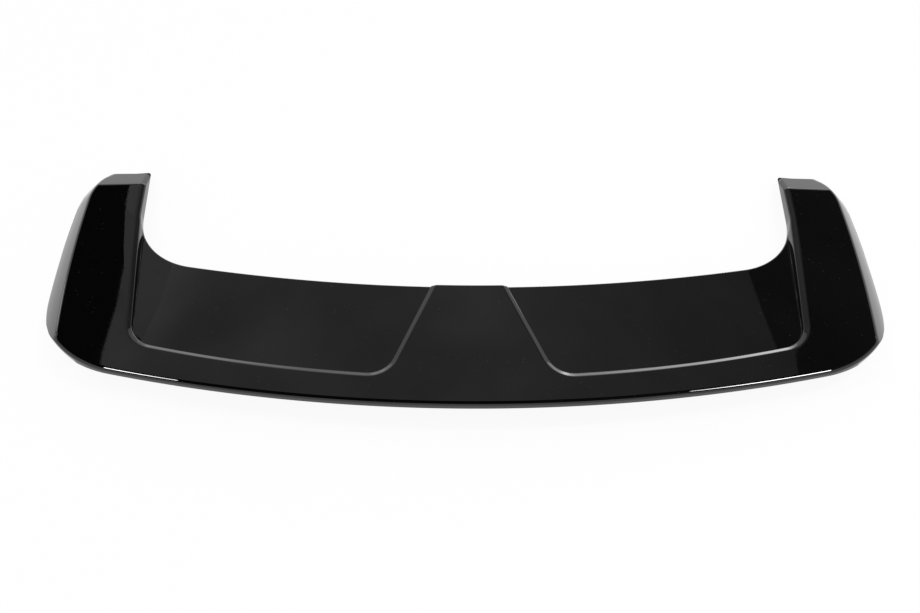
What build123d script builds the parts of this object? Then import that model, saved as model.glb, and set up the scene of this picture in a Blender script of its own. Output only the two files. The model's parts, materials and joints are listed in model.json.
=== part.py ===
from build123d import *
import os
from math import asin, cos, degrees, hypot, radians, sin, sqrt, tan

# Roof spoiler: a wing with two forward ears, made of two bonded skins with studs, seals and tape.
# Frame: +X to the right seen from behind the vehicle, +Y towards its front, +Z up, millimetres.
# The origin is the centre of the four mounting studs, on the plane that the stud seals rest on.

# Plan
HALF_WIDTH = 612.0  # widest point of the side, from the centre line
SIDE_Y = 0.0  # where the side is widest
SIDE_RADIUS = 1660.0  # bow of the side seen from above
TRAIL_Y = -143.0  # trailing edge on the centre line
TRAIL_RADIUS = 2120.0
REAR_CORNER_RADIUS = 150.0
TIP_Y = 294.5  # front end of the ears
EAR_WIDTH = 124.0
EAR_INNER_X = HALF_WIDTH - EAR_WIDTH
NOTCH_RADIUS = 105.0  # between an ear and the front edge
FRONT_Y = 56.0  # front edge on the centre line
FRONT_RADIUS = 1880.0

# Top surface: its arc along the centre line and its crown across the vehicle
TOP_FRONT_Y = 330.0
TOP_FRONT_Z = 10.9
TOP_MID_Y = 30.0
TOP_MID_Z = 27.0
TOP_REAR_Y = -200.0
TOP_REAR_Z = 31.6
TOP_RADIUS = 12000.0
TIP_BREAK_Y = 255.0  # where the ear's top breaks into its front slope
TIP_BREAK_Z = 16.0
TIP_SLOPE = 30.0  # degrees
TIP_BREAK_RADIUS = 8.0

# Recessed panels on both sides of the centre tongue
PANEL_REAR_Y = -130.0
PANEL_REAR_Z = 27.4
PANEL_REAR_RADIUS = 13000.0
PANEL_FRONT_Y = 200.0
PANEL_FRONT_Z = 15.8
PANEL_FRONT_RADIUS = 4900.0
RECESS_END_IN = 0.5
RECESS_END_X = EAR_INNER_X - RECESS_END_IN  # the outer wall's line along the ear
RECESS_SIDE_IN = 13.5
RECESS_SIDE_X = RECESS_END_X - RECESS_SIDE_IN  # the outer wall where its splayed line passes y = 0
RECESS_SIDE_SPLAY = 4.0  # degrees
RECESS_BEND_RADIUS = 600.0
RECESS_REAR_Y = -96.5  # rear wall, carried to the centre line
RECESS_REAR_RADIUS = 1830.0
RECESS_OUTER_RADIUS = 42.0
RECESS_INNER_RADIUS = 38.0
TONGUE_HALF_WIDTH = 55.0  # at the front edge
TONGUE_SPLAY = 22.5  # degrees
TONGUE_BEND_Y = 69.0
TONGUE_BEND_RADIUS = 60.0
STEP_RUN = 7.0  # chamfer round the recess
STEP_FALL = 3.5

# Side slope of the ears, given beside the widest line of the side
SIDE_FOOT_OUT = 4.0
SIDE_FOOT_Z = -37.0
SIDE_HEAD_IN = 43.5
SIDE_HEAD_Z = 23.0
SIDE_BULGE = 2.0
SIDE_TURN = 20.0  # degrees of the side's bow that the slope covers towards the rear
TIP_CORNER_RADIUS = 100.0
TIP_CORNER_TURN = 8.0  # degrees round the side's bow to the tip corner
TIP_THICKENING = 1.5  # wall at the ear's front end, against the other walls
CREASE_RADIUS = 5.0

# Trailing edge and underside
NOSE = 12.0  # thickness of the trailing edge
NOSE_RADIUS = 5.0
BELLY_SLOPE = 0.35  # rise of the underside towards the trailing edge
ROOF_TOP_Z = 15.0  # the vehicle's roof under the spoiler, on the centre line
ROOF_RADIUS = 4000.0
CORNER_NOSE = 8.0  # thickness of the edge at the rear corner, above the bevel
BEVEL_RISE = 1.43  # rise of the bevel under the rear corner
BEVEL_TURN = 46.7  # degrees from the side to the way the bevel rises

# Skins
WALL = 3.0
BOND_GAP = 0.4
INNER_WALL = 2.5
FLANGE_HEIGHT = 9.0  # upstand of the inner skin, bonded inside the outer skin's wall

# Mounting studs with their pads in the inner skin, and the foam seals under the pads
STUD_X = 300.0
STUD_Y = 30.0
STUD_PLACES = [(-STUD_X, STUD_Y), (STUD_X, STUD_Y), (-STUD_X, -STUD_Y), (STUD_X, -STUD_Y)]
STUD_RADIUS = 3.0
STUD_LENGTH = 24.0
STUD_CHAMFER = 0.8
HEAD_RADIUS = 13.0
HEAD_THICKNESS = 1.5
NECK_RADIUS = 4.5
NECK_CLEARANCE = 0.5
PAD_SIZE = 32.0
PAD_HEIGHT = 6.0
SEAL_THICKNESS = 2.0
SEAL_SQUEEZE = 0.5  # how far the foam stands past the stud's neck
SEAL_MARGIN = 1.0

# Drain holes near the trailing edge
DRAIN_RADIUS = 3.0
DRAIN_PLACES = [(-450.0, -72.0), (-200.0, -120.0), (200.0, -120.0), (450.0, -72.0)]

# Double-sided tape
TAPE_THICKNESS = 1.1
TAPE_WIDTH = 12.0
TAPE_MARGIN = 10.0
FRONT_TAPE_END = 78.0  # from the ear's inner side
EAR_TAPE_IN = 78.0  # from the widest line of the side
EAR_TAPE_Y = 190.0
EAR_TAPE_LENGTH = 150.0

# Reach of the blocks that are cut to the final shape
REACH = 1.15 * HALF_WIDTH
SKY = 60.0
FLOOR = -90.0


def crowned_block(inset=0.0):
    """All that lies below the top surface and below the front slope of the ears."""
    half_angle = degrees(asin(REACH / TOP_RADIUS))
    axis = Axis((0, 0, TOP_MID_Z - TOP_RADIUS), (0, 1, 0))
    fall = tan(radians(TIP_SLOPE))
    tip_z = TIP_BREAK_Z - inset / cos(radians(TIP_SLOPE))
    with BuildPart() as block:
        with BuildSketch(Plane.YZ) as side_view:
            with BuildLine():
                crest = ThreePointArc(
                    (TOP_FRONT_Y, TOP_FRONT_Z - inset),
                    (TOP_MID_Y, TOP_MID_Z - inset),
                    (TOP_REAR_Y, TOP_REAR_Z - inset),
                )
                Polyline(crest @ 0, (TOP_FRONT_Y, FLOOR), (TOP_REAR_Y, FLOOR), crest @ 1)
            make_face()
            with BuildLine():
                Polyline(
                    (TIP_BREAK_Y - SKY, tip_z + SKY * fall),
                    (TOP_FRONT_Y, tip_z - (TOP_FRONT_Y - TIP_BREAK_Y) * fall),
                    (TOP_FRONT_Y, tip_z + SKY * fall),
                    close=True,
                )
            make_face(mode=Mode.SUBTRACT)
            fillet(side_view.vertices().sort_by_distance((TIP_BREAK_Y, TIP_BREAK_Z))[0], TIP_BREAK_RADIUS)
        revolve(axis=axis, revolution_arc=2 * half_angle)
    return block.part.rotate(axis, -half_angle)


def slope_ring(radius, centre, start, sweep, inset):
    """What lies outside the ear's sloping side, turned about a centre in plan."""
    rise = SIDE_HEAD_Z - SIDE_FOOT_Z
    run = SIDE_FOOT_OUT + SIDE_HEAD_IN
    length = hypot(rise, run)
    line = radius - inset * length / rise
    outside = radius + SKY
    middle = (
        line + (SIDE_FOOT_OUT - SIDE_HEAD_IN) / 2 + SIDE_BULGE * rise / length,
        (SIDE_FOOT_Z + SIDE_HEAD_Z) / 2 + SIDE_BULGE * run / length,
    )
    with BuildPart() as ring:
        with BuildSketch(Plane.XZ):
            with BuildLine():
                slope = ThreePointArc(
                    (line + SIDE_FOOT_OUT, SIDE_FOOT_Z), middle, (line - SIDE_HEAD_IN, SIDE_HEAD_Z)
                )
                Polyline(slope @ 1, (outside, SIDE_HEAD_Z), (outside, SIDE_FOOT_Z), slope @ 0)
            make_face()
        revolve(axis=Axis.Z, revolution_arc=sweep)
    return ring.part.moved(Location((centre[0], centre[1], 0), (0, 0, start)))


def side_cutter(inset=0.0):
    """What lies outside the right ear's sloping side and its tip corner."""
    side_centre = (HALF_WIDTH - SIDE_RADIUS, SIDE_Y)
    turn = radians(TIP_CORNER_TURN)
    arm = SIDE_RADIUS - TIP_CORNER_RADIUS
    corner = (side_centre[0] + arm * cos(turn), side_centre[1] + arm * sin(turn))
    with BuildPart() as cutter:
        add(slope_ring(SIDE_RADIUS, side_centre, -SIDE_TURN, SIDE_TURN + TIP_CORNER_TURN, inset))
        add(slope_ring(TIP_CORNER_RADIUS, corner, TIP_CORNER_TURN, 90 - TIP_CORNER_TURN, inset))
    return cutter.part


def recess_outline(grow=0.0):
    """The right-hand recess in plan, run on past the front of the ears."""
    tongue_run = tan(radians(TONGUE_SPLAY))
    side_run = tan(radians(RECESS_SIDE_SPLAY))
    rear = 2 * RECESS_REAR_Y
    front = TOP_FRONT_Y + SKY
    tongue_x = TONGUE_HALF_WIDTH - tongue_run * (TONGUE_BEND_Y - FRONT_Y)
    with BuildSketch() as outline:
        with BuildLine():
            Polyline(
                (RECESS_SIDE_X + side_run * rear, rear),
                (RECESS_END_X, (RECESS_END_X - RECESS_SIDE_X) / side_run),
                (RECESS_END_X, front),
                (tongue_x, front),
                (tongue_x, TONGUE_BEND_Y),
                (TONGUE_HALF_WIDTH + tongue_run * (FRONT_Y - rear), rear),
                close=True,
            )
        make_face()
        with Locations((0, RECESS_REAR_Y + RECESS_REAR_RADIUS)):
            Circle(RECESS_REAR_RADIUS, mode=Mode.INTERSECT)
        corners = [Vector(corner) for corner in outline.vertices().sort_by(Axis.Y)]
        bends = (RECESS_INNER_RADIUS, RECESS_OUTER_RADIUS, TONGUE_BEND_RADIUS, RECESS_BEND_RADIUS)
        for corner, bend in zip(corners, bends):
            fillet(outline.vertices().sort_by_distance(corner)[0], bend)
        if grow:
            offset(amount=grow)
    return outline.sketch


def arched_sketch(plane, z, radius, hollow=False):
    """A slab in an upright plane whose top is an arc, arched or hollow, at height z on the centre line."""
    fall = radius - sqrt(radius**2 - REACH**2)
    end = z + fall if hollow else z - fall
    with BuildSketch(plane) as slab:
        with BuildLine():
            ThreePointArc((-REACH, end), (0, z), (REACH, end))
            Polyline((REACH, end), (REACH, 4 * FLOOR), (-REACH, 4 * FLOOR), (-REACH, end))
        make_face()
    return slab.sketch


def panel_block(inset=0.0):
    """All that lies below the recessed panels."""
    with BuildPart() as block:
        add(arched_sketch(Plane.XZ.offset(-PANEL_REAR_Y), PANEL_REAR_Z - inset, PANEL_REAR_RADIUS))
        add(arched_sketch(Plane.XZ.offset(-PANEL_FRONT_Y), PANEL_FRONT_Z - inset, PANEL_FRONT_RADIUS))
        loft(ruled=True)
    return block.part


def notch_block(inset=0.0):
    """The gap between the ears where the vehicle's roof comes in."""
    with BuildPart() as block:
        with BuildSketch(Plane.XY.offset(2 * FLOOR)) as plan:
            Rectangle(2 * (EAR_INNER_X + inset), 2 * REACH)
            with Locations((0, FRONT_Y + FRONT_RADIUS)):
                Circle(FRONT_RADIUS + inset, mode=Mode.INTERSECT)
            fillet(plan.vertices().group_by(Axis.Y)[0], NOTCH_RADIUS + inset)
        extrude(amount=SKY - 2 * FLOOR)
    return block.part


def wing_plan(inset=0.0):
    """The wing and ears seen from above, before the notch."""
    with BuildSketch(Plane.XY.offset(FLOOR)) as plan:
        with Locations((0, TIP_Y - TIP_THICKENING * inset)):
            Rectangle(2 * REACH, 2 * REACH, align=(Align.CENTER, Align.MAX))
        for side in (1, -1):
            with Locations((side * (HALF_WIDTH - SIDE_RADIUS), SIDE_Y)):
                Circle(SIDE_RADIUS - inset, mode=Mode.INTERSECT)
        with Locations((0, TRAIL_Y + TRAIL_RADIUS)):
            Circle(TRAIL_RADIUS - inset, mode=Mode.INTERSECT)
        fillet(plan.vertices().group_by(Axis.Y)[0], REAR_CORNER_RADIUS - inset)
    return plan.sketch


def touching(edges, faces):
    """The edges whose middle lies on one of the faces."""
    return [edge for edge in edges if any(face.distance_to(edge @ 0.5) < 0.01 for face in faces)]


def upright(faces):
    """The faces that stand upright."""
    return faces.filter_by(lambda face: abs(face.normal_at().Z) < 0.01)


def centred(faces):
    """The faces on the centre line that look up."""
    return faces.filter_by(lambda face: abs(face.center().X) < 1 and face.normal_at().Z > 0.5)


def spoiler_form(inset=0.0):
    """The whole outer form drawn in by inset, still open to the floor below."""
    outline = recess_outline(inset)
    with BuildPart() as recess:
        with BuildSketch(Plane.XY.offset(2 * FLOOR)):
            add(outline)
            mirror(outline, about=Plane.YZ)
        extrude(amount=SKY - 2 * FLOOR)
        add(panel_block(inset), mode=Mode.SUBTRACT)
    cutter = side_cutter(inset)
    with BuildPart() as form:
        extrude(wing_plan(inset), amount=SKY - FLOOR, dir=(0, 0, 1))
        add(crowned_block(inset), mode=Mode.INTERSECT)
        if not inset:
            walls = upright(form.faces()).filter_by(lambda face: face.center().Y < TIP_Y - 1)
            fillet(touching(centred(form.faces()).edges(), walls), NOSE_RADIUS)
        add(cutter, mode=Mode.SUBTRACT)
        add(mirror(cutter, about=Plane.YZ, mode=Mode.PRIVATE), mode=Mode.SUBTRACT)
        if not inset:
            outer = form.faces().filter_by(lambda face: abs(face.center().X) > EAR_INNER_X)
            ears = outer.filter_by(lambda face: face.center().Y > SIDE_Y)
            slopes = ears.filter_by(lambda face: 0.1 < face.normal_at().Z < 0.9)
            fillet(touching(slopes.edges(), centred(form.faces())), CREASE_RADIUS)
        add(recess.part, mode=Mode.SUBTRACT)
        top = centred(form.faces()).sort_by(SortBy.AREA)[-1]
        walls = upright(form.faces()).filter_by(lambda face: abs(face.center().X) < EAR_INNER_X)
        step = walls.filter_by(lambda face: RECESS_REAR_Y - inset < face.center().Y < TIP_Y - inset - 1)
        chamfer(touching(top.edges(), step), STEP_RUN, STEP_FALL, reference=top)
        add(notch_block(inset), mode=Mode.SUBTRACT)
    return form.part


def plan_block(inset):
    """The spoiler's plan drawn in by inset, with its sloping sides, standing through all heights."""
    cutter = side_cutter(inset)
    with BuildPart() as block:
        extrude(wing_plan(inset), amount=SKY - FLOOR, dir=(0, 0, 1))
        add(cutter, mode=Mode.SUBTRACT)
        add(mirror(cutter, about=Plane.YZ, mode=Mode.PRIVATE), mode=Mode.SUBTRACT)
        add(notch_block(inset), mode=Mode.SUBTRACT)
    return block.part


def roof_block(rise=0.0):
    """The vehicle's roof and tailgate under the spoiler, raised by rise."""
    with BuildPart() as block:
        section = arched_sketch(Plane.XZ.offset(-2 * REACH), ROOF_TOP_Z + rise, ROOF_RADIUS)
        extrude(section, amount=4 * REACH, dir=(0, -1, 0))
    return block.part


def belly_block(rise=0.0):
    """The free air under the trailing edge, raised by rise."""
    hollow = 1 / (BELLY_SLOPE / TRAIL_RADIUS - 1 / TOP_RADIUS)
    lead = REACH / 4
    nose_z = TOP_REAR_Z - NOSE + rise
    with BuildPart() as block:
        plane = Plane.XZ.offset(lead - TRAIL_Y)
        section = arched_sketch(plane, nose_z + lead * BELLY_SLOPE, hollow, hollow=True)
        extrude(section, amount=2 * REACH, dir=(0, 1, -BELLY_SLOPE))
    return block.part


def top_point(x, y):
    """The point of the top surface over a place in plan."""
    crest = Edge.make_three_point_arc(
        (TOP_FRONT_Y, TOP_FRONT_Z), (TOP_MID_Y, TOP_MID_Z), (TOP_REAR_Y, TOP_REAR_Z)
    )
    ridge = crest.arc_center.Y + sqrt(crest.radius**2 - (y - crest.arc_center.X) ** 2)
    axis_z = TOP_MID_Z - TOP_RADIUS
    return Vector(x, y, axis_z + sqrt((ridge - axis_z) ** 2 - x**2))


def bevel_block(rise=0.0):
    """The free air under the right rear corner, raised by rise."""
    turn = radians(BEVEL_TURN)
    corner_x = HALF_WIDTH - REAR_CORNER_RADIUS
    corner_y = TRAIL_Y + TRAIL_RADIUS - sqrt((TRAIL_RADIUS - REAR_CORNER_RADIUS) ** 2 - corner_x**2)
    nose = top_point(corner_x + REAR_CORNER_RADIUS * cos(turn), corner_y - REAR_CORNER_RADIUS * sin(turn))
    up = (-BEVEL_RISE * cos(turn), BEVEL_RISE * sin(turn), 1)
    bevel = Plane(nose - Vector(0, 0, CORNER_NOSE), z_dir=up).offset(rise)
    with BuildPart(bevel) as block:
        Box(REACH, REACH, REACH, align=(Align.CENTER, Align.CENTER, Align.MAX))
    return block.part


def underside(rise):
    """All that lies less than rise above the roof or above the free underside."""
    bevel = bevel_block(rise)
    with BuildPart() as block:
        add(roof_block(rise))
        add(belly_block(rise))
        add(bevel)
        add(mirror(bevel, about=Plane.YZ, mode=Mode.PRIVATE))
    return block.part


os.makedirs("parts", exist_ok=True)
ground = underside(0)

with BuildPart() as outer_skin:
    add(spoiler_form())
    add(spoiler_form(WALL), mode=Mode.SUBTRACT)
    add(ground, mode=Mode.SUBTRACT)
outer_skin.part.label = "outer_skin"
export_step(outer_skin.part, "parts/outer_skin.step")

with BuildPart() as inner_skin:
    room = WALL + BOND_GAP
    with BuildPart(mode=Mode.PRIVATE) as hollow:
        add(plan_block(room + INNER_WALL))
        add(underside(INNER_WALL), mode=Mode.SUBTRACT)
    add(spoiler_form(room))
    add(underside(FLANGE_HEIGHT), mode=Mode.INTERSECT)
    add(hollow.part, mode=Mode.SUBTRACT)
    add(ground, mode=Mode.SUBTRACT)
    with Locations(*[(x, y, SEAL_THICKNESS) for x, y in STUD_PLACES]):
        Box(PAD_SIZE, PAD_SIZE, PAD_HEIGHT, align=(Align.CENTER, Align.CENTER, Align.MIN))
    well = PAD_SIZE - 2 * INNER_WALL
    with Locations(*[(x, y, SEAL_THICKNESS + INNER_WALL) for x, y in STUD_PLACES]):
        Box(well, well, SKY, align=(Align.CENTER, Align.CENTER, Align.MIN), mode=Mode.SUBTRACT)
    with Locations(*STUD_PLACES):
        Cylinder(NECK_RADIUS + NECK_CLEARANCE, SKY, mode=Mode.SUBTRACT)
    with Locations(*DRAIN_PLACES):
        Cylinder(DRAIN_RADIUS, SKY, mode=Mode.SUBTRACT)
inner_skin.part.label = "inner_skin"
export_step(inner_skin.part, "parts/inner_skin.step")

with BuildPart() as studs:
    seat_z = SEAL_THICKNESS + INNER_WALL
    below = (Align.CENTER, Align.CENTER, Align.MAX)
    with Locations(*[(x, y, seat_z) for x, y in STUD_PLACES]):
        Cylinder(HEAD_RADIUS, HEAD_THICKNESS, align=(Align.CENTER, Align.CENTER, Align.MIN))
        Cylinder(NECK_RADIUS, seat_z - SEAL_SQUEEZE, align=below)
        Cylinder(STUD_RADIUS, STUD_LENGTH, align=below)
    chamfer(studs.faces().group_by(Axis.Z)[0].edges(), STUD_CHAMFER)
studs.part.label = "studs"
export_step(studs.part, "parts/studs.step")

with BuildPart() as stud_seals:
    with BuildSketch():
        with Locations(*STUD_PLACES):
            Rectangle(PAD_SIZE - 2 * SEAL_MARGIN, PAD_SIZE - 2 * SEAL_MARGIN)
            Circle(NECK_RADIUS + NECK_CLEARANCE, mode=Mode.SUBTRACT)
    extrude(amount=SEAL_THICKNESS)
stud_seals.part.label = "stud_seals"
export_step(stud_seals.part, "parts/stud_seals.step")


def tape(plan):
    """Tape of this plan, stuck under the inner skin where it lies on the roof."""
    with BuildPart() as strip:
        extrude(plan, amount=SKY - FLOOR, dir=(0, 0, 1))
        add(roof_block(), mode=Mode.INTERSECT)
        add(roof_block(-TAPE_THICKNESS), mode=Mode.SUBTRACT)
    return strip.part


with BuildSketch(Plane.XY.offset(FLOOR)) as front_plan:
    with Locations((0, FRONT_Y + FRONT_RADIUS)):
        Circle(FRONT_RADIUS + TAPE_MARGIN + TAPE_WIDTH)
        Circle(FRONT_RADIUS + TAPE_MARGIN, mode=Mode.SUBTRACT)
    Rectangle(2 * (EAR_INNER_X - FRONT_TAPE_END), 2 * TIP_Y, mode=Mode.INTERSECT)
with BuildPart() as front_tape:
    add(tape(front_plan.sketch))
front_tape.part.label = "front_tape"
export_step(front_tape.part, "parts/front_tape.step")

for hand, side in (("left", -1), ("right", 1)):
    with BuildSketch(Plane.XY.offset(FLOOR)) as ear_plan:
        with Locations((side * (HALF_WIDTH - EAR_TAPE_IN), EAR_TAPE_Y)):
            Rectangle(TAPE_WIDTH, EAR_TAPE_LENGTH)
    with BuildPart() as ear_tape:
        add(tape(ear_plan.sketch))
    ear_tape.part.label = f"ear_tape_{hand}"
    export_step(ear_tape.part, f"parts/ear_tape_{hand}.step")
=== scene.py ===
import json
import math

import bmesh
import bpy
import numpy as np
from mathutils import Matrix, Vector
from mathutils.geometry import delaunay_2d_cdt
from mathutils.kdtree import KDTree

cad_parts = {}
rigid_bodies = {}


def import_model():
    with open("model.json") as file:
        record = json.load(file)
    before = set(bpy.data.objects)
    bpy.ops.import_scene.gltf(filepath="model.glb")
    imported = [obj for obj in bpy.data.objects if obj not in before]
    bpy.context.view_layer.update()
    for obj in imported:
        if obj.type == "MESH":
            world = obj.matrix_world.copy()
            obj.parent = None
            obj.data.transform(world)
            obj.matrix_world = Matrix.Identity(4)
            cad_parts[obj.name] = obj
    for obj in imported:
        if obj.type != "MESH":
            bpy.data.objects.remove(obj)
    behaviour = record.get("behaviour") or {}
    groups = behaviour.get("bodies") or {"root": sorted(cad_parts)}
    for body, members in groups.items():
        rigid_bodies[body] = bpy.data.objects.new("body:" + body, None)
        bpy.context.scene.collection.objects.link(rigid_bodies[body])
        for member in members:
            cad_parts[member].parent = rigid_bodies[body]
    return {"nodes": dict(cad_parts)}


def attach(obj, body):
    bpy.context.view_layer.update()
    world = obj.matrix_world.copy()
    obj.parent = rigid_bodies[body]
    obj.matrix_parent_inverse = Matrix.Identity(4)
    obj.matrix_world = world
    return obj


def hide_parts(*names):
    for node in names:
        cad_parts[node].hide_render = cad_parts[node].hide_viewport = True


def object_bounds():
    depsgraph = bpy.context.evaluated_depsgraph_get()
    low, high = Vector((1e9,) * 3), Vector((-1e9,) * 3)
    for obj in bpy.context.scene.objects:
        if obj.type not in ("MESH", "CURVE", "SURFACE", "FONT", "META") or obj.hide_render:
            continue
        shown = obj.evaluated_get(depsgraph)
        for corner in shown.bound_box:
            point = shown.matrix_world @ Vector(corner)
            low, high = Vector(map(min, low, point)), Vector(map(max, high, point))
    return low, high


# Roof spoiler in gloss black, seen from behind and above. Sizes are millimetres in the part's own frame.
MM = 0.001

# Plan of the outer skin
HALF_WIDTH = 612.0
SIDE_Y = 0.0
SIDE_RADIUS = 1660.0
TRAIL_Y = -143.0
TRAIL_RADIUS = 2120.0
REAR_CORNER_RADIUS = 150.0
TIP_OUTER_X = 562.0
TIP_Y = 294.5
TIP_INNER_Y = 292.5
TIP_ROUND_RADIUS = 12.0
TIP_CORNER_TURN = math.radians(8.0)
TIP_CORNER_END = math.radians(40.0)
TIP_CORNER_RADIUS = 100.0
TIP_INNER_RADIUS = 4.0
EAR_INNER_X = 488.0
NOTCH_RADIUS = 105.0
FRONT_Y = 56.0
FRONT_RADIUS = 1880.0

SIDE_CENTRE = np.array((HALF_WIDTH - SIDE_RADIUS, SIDE_Y))
TIP_ARM = SIDE_RADIUS - TIP_CORNER_RADIUS
TIP_CENTRE = SIDE_CENTRE + TIP_ARM * np.array((math.cos(TIP_CORNER_TURN), math.sin(TIP_CORNER_TURN)))

# Heights of the outer skin
CREST = ((330.0, 10.9), (30.0, 27.0), (-200.0, 31.6))
TOP_RADIUS = 12000.0
CROWN_AXIS_Z = CREST[1][1] - TOP_RADIUS
TIP_BREAK_Y = 255.0
TIP_BREAK_Z = 16.0
TIP_SLOPE = math.radians(30.0)
TIP_BLEND = 1.1
PANEL_REAR_Y = -130.0
PANEL_REAR_Z = 27.4
PANEL_REAR_RADIUS = 13000.0
PANEL_FRONT_Y = 200.0
PANEL_FRONT_Z = 15.8
PANEL_FRONT_RADIUS = 4900.0
SLOPE_FOOT = (4.0, -37.0)
SLOPE_HEAD = (-43.5, 23.0)
SLOPE_BULGE = 2.0
CREASE_BLEND = 2.8
ROOF_TOP_Z = 15.0
ROOF_RADIUS = 4000.0
NOSE_Z = 19.6
BELLY_SLOPE = 0.35
BELLY_RADIUS = 1 / (BELLY_SLOPE / TRAIL_RADIUS - 1 / TOP_RADIUS)
CORNER_NOSE = 8.0
BEVEL_RISE = 1.43
BEVEL_TURN = math.radians(46.7)

# Recessed panels
RECESS_SIDE_X = 474.0
RECESS_SIDE_SPLAY = math.radians(4.0)
RECESS_END_X = 487.5
RECESS_BEND_RADIUS = 600.0
RECESS_REAR_Y = -96.5
RECESS_REAR_RADIUS = 1830.0
RECESS_OUTER_RADIUS = 42.0
RECESS_INNER_RADIUS = 38.0
TONGUE_HALF_WIDTH = 55.0
TONGUE_SPLAY = math.radians(22.5)
TONGUE_BEND_Y = 69.0
TONGUE_BEND_RADIUS = 60.0
STEP_RUN = 7.0
STEP_FALL = 3.5
STEP_STEEPNESS = 6.0
STEP_HEAD_BLEND = 0.8
STEP_WALL_BLEND = 4.0
STEP_FOOT_BLEND = 2.4
RECESS_FRONT_Y = 330.0

# Edges and wall
NOSE_RADIUS = 5.0
FRONT_EDGE_RADIUS = 2.0
TIP_EDGE_RADIUS = 1.0
WALL = 3.0
THINNEST = 0.4

# Mesh spacing
SAMPLE = 4.0
GRID = 9.0
GRID_ROW = 0.87 * GRID
GRID_CLEAR = 0.6 * GRID
LINE_CLEAR = 0.02
SNAP = 2e-3
DOUBLED = 0.05
MERGED = 1e-4
SLIVER = 1e-6
WELDED = 1e-7
TIGHTEST = 0.85
TILT_STEP = 0.5
STEEPEST = 3.0
SLOPE_REACH = 56.0
SLOPE_STEPS = 561
SKIN_SHARP = math.radians(38.0)
STUD_SHARP = math.radians(40.0)
MEET_STEP = 1e-3
MEET_ROUNDS = 40

# Where lines of the mesh run beside its edges, creases and steps
EDGE_TURNS = np.radians((90, 75, 60, 45, 30, 15, 0))
BEHIND_EDGE = (WALL, WALL + 3, WALL + 7)
EDGE_APART = 0.6
ON_SLOPE = (0.2, 0.4, 0.6, 0.8)
BESIDE_CREASE = (-3.2, -2.2, -1.3, -0.6, 0.0, 0.6, 1.3, 2.2, 3.2, 5.0, 8.0)
SHORTEST_SLOPE = 6.0
SLOPE_CLEAR = 1.0
BESIDE_TIP_BREAK = (-7.0, -3.5, -1.8, 0.0, 1.8, 3.5, 7.0)
ABOVE_STEP = (-15, -11, -9, -8, -7, -6, -4.5, -3, -1.8, -1.1, -0.5)
BELOW_STEP = (0, 0.3, 0.6, 0.9, 1.2, 1.6, 2.0, 2.5, 3.2, 4.5, 7, 12)

# Paint and plastics
GLOSS_BLACK = (0.0009, 0.0009, 0.001)
DUST_GREY = (0.02, 0.02, 0.021)
PAINT_IOR = 1.52
PAINT_ROUGHNESS = (0.012, 0.03)
PEEL_SCALE = 330.0
PEEL_HEIGHT = 4e-6
HAZE_SCALE = 7.0
HAZE_STRETCH = (1, 2.5, 1)
DUST_SCALE = 420.0
DUST_FROM = 0.82
DUST_TO = 0.86
MOULDED_BLACK = (0.03, 0.03, 0.032)
MOULDED_WORN = (0.045, 0.045, 0.047)
MOULDED_ROUGHNESS = (0.5, 0.65)
WEAR_SCALE = 14.0
SHEEN_SCALE = 30.0
GRAIN_SCALE = 900.0
GRAIN_HEIGHT = 1.2e-4
FOAM_SCALE = 1100.0
FOAM_HEIGHT = 2.5e-4
SEAL_GREY = (0.045, 0.045, 0.05)
SEAL_PALE = (0.07, 0.07, 0.075)
TAPE_GREY = (0.2, 0.2, 0.21)
TAPE_PALE = (0.27, 0.27, 0.28)
SEAL_ROUGHNESS = 0.85
TAPE_ROUGHNESS = 0.75
ZINC = (0.62, 0.63, 0.64)
ZINC_DULL = (0.46, 0.46, 0.45)
ZINC_ROUGHNESS = (0.24, 0.4)
PLATING_SCALE = 260.0
TARNISH_SCALE = 700.0
TURNING_SCALE = 1800.0
TURNING_STRETCH = (1, 1, 6)
TURNING_HEIGHT = 1.5e-5

# Mounting studs
STUD_PLACES = ((-300.0, 30.0), (300.0, 30.0), (-300.0, -30.0), (300.0, -30.0))
STUD_TOP = 6.0
HEAD_RADIUS = 13.0
HEAD_THICKNESS = 1.5
HEAD_EDGE = 0.4
NECK_RADIUS = 4.5
NECK_FOOT = 0.5
STUD_FOOT = -19.5
STUD_CHAMFER = 0.8
THREAD_RADIUS = 3.0
THREAD_PITCH = 1.0
THREAD_DEPTH = 0.6
THREAD_ROOT = 1.25
THREAD_FLANK = 1.6
THREAD_RUNOUT = 1.2
STUD_SIDES = 48
THREAD_STEPS = 8

# Studio, in metres. Only the paint reflects the cards and boxes, and each glow runs from left to right.
FLOOR_SIZE = 14.0
FLOOR_WHITE = (0.92, 0.92, 0.92)
FLOOR_GLOW = 0.92
AMBIENT = 0.8
CEILING_Z = 2.52
CEILING = [(x, y, CEILING_Z) for x, y in ((-2.9, -4.0), (2.9, -4.0), (2.9, 3.6), (-2.9, 3.6))]
CEILING_GLOW = ((0.0, 0.012), (0.5, 0.02), (1.0, 0.09))
CARD_Z = 2.5
CARD_LEFT = ((-1.63, 3.4), (-1.59, 2.8), (-1.51, 2.4), (-1.49, 2.0), (-1.5, 1.7), (-1.47, 1.1))
CARD_RIGHT = ((1.5, 1.1), (1.545, 1.65), (1.66, 2.35), (1.86, 3.4))
CARD = [(x, y, CARD_Z) for x, y in CARD_LEFT + CARD_RIGHT]
CARD_GLOW = ((0.0, 0.62), (0.1, 0.42), (0.5, 0.44), (0.8, 0.26), (1.0, 0.17))
CARD_MOTTLE = 0.22
CARD_CLOUD = 1.6
SMALL_CARD_Z = 0.2
SMALL_CARD_LEFT = ((-0.594, 0.4), (-0.581, 0.305), (-0.568, 0.232), (-0.557, 0.162))
SMALL_CARD_RIGHT = ((-0.535, 0.138), (-0.521, 0.218), (-0.523, 0.31), (-0.524, 0.335))
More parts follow.
